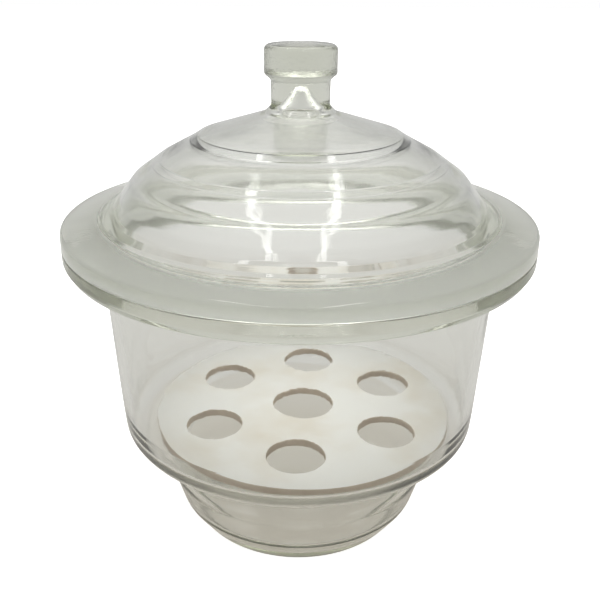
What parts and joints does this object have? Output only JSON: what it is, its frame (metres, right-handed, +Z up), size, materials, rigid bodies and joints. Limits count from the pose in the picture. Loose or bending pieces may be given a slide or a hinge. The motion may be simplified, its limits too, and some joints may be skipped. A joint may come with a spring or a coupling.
{
  "type": "glass desiccator",
  "caption": "Glass drying vessel with a ground flange, a domed lid with a knob and a perforated plate over a desiccant well.",
  "frame": {"origin": "centre of the foot, on the surface that the vessel stands on", "axes": "+Z up along the axis of the vessel and lid, -Y towards the side shown as the front"},
  "size_m": [0.27, 0.27, 0.2897],
  "materials": {
    "vessel_glass": "clear pressed glass, faintly grey-green, with a milky ground flange face",
    "lid_glass": "clear pressed glass, faintly grey-green, with a milky ground flange face",
    "plate_porcelain": "off-white porcelain, thin glaze on top, bare beige rim and hole walls"
  },
  "bodies": {
    "vessel": {"vessel": "vessel_glass"},
    "plate": {"perforated_plate": "plate_porcelain"},
    "lid": {"lid": "lid_glass"}
  },
  "joints": [
    {"name": "lid_lift", "type": "slide", "parent": "vessel", "child": "lid", "axis": [0, 0, 1], "range_m": [0, 0.15]},
    {"name": "plate_lift", "type": "slide", "parent": "vessel", "child": "plate", "axis": [0, 0, 1], "range_m": [0, 0.13]}
  ]
}
